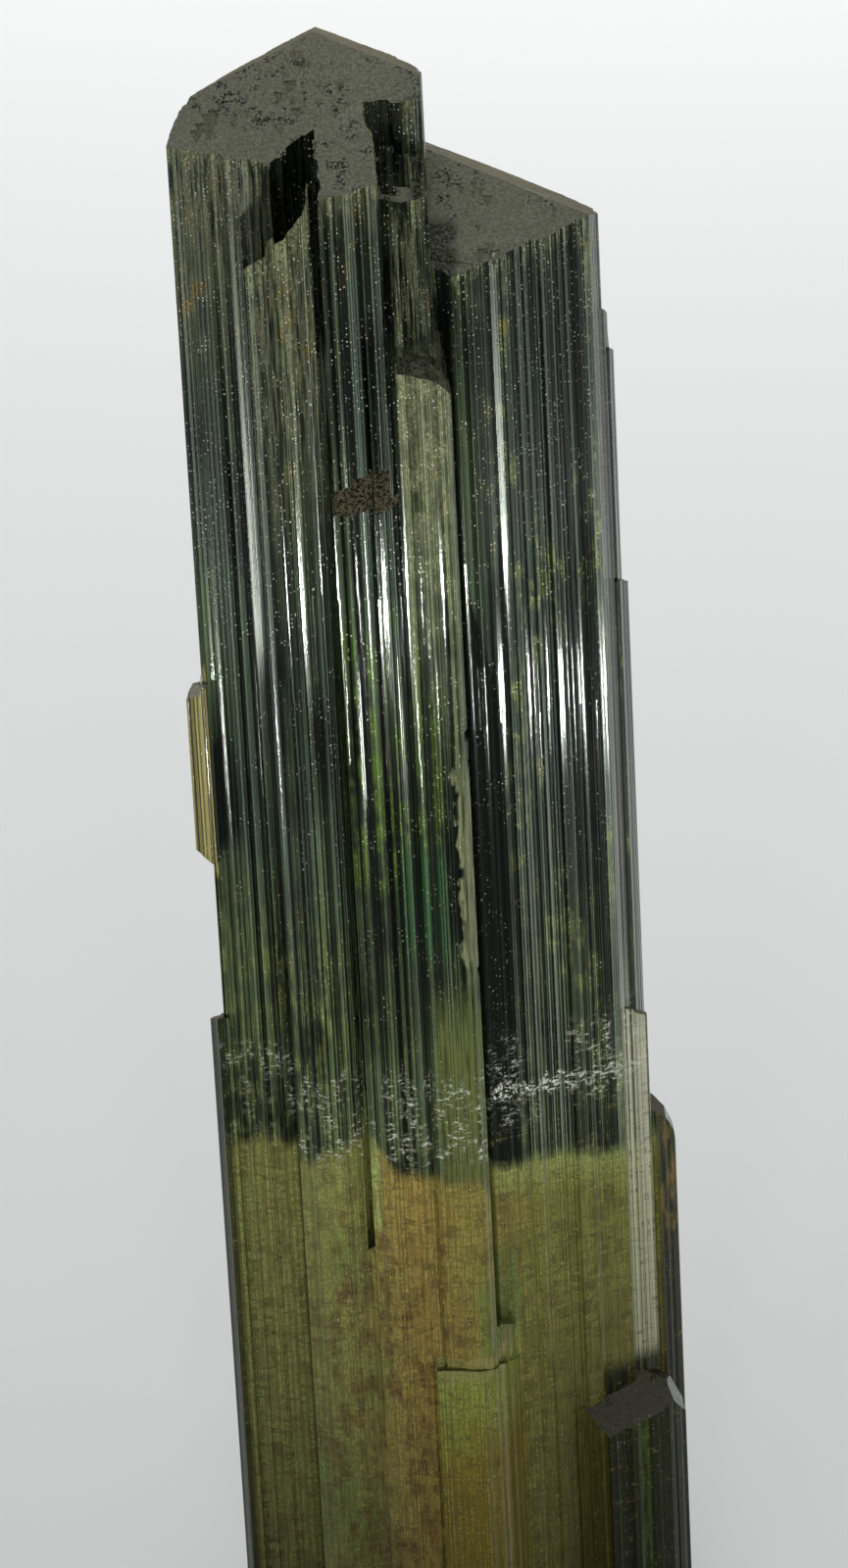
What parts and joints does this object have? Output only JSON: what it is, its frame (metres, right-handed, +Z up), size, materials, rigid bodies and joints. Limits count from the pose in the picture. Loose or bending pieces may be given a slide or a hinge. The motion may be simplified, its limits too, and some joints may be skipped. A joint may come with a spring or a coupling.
{
  "type": "tourmaline crystal",
  "caption": "Upright bicolour tourmaline specimen: striated prisms grown side by side, dark blue-green above and olive-brown below, cut flat at the foot.",
  "frame": {"origin": "middle of the footprint box, on the flat cut that the specimen stands on", "axes": "+Z up along the crystal axis, +X to the right across the broad front, the front looks towards -Y"},
  "size_m": [0.026, 0.0198, 0.0964],
  "materials": {
    "tourmaline": "glassy striated crystal, dark blue-green above and olive-brown below, see-through where thin"
  },
  "bodies": {
    "root": {"tourmaline_crystal": "tourmaline"}
  },
  "joints": []
}
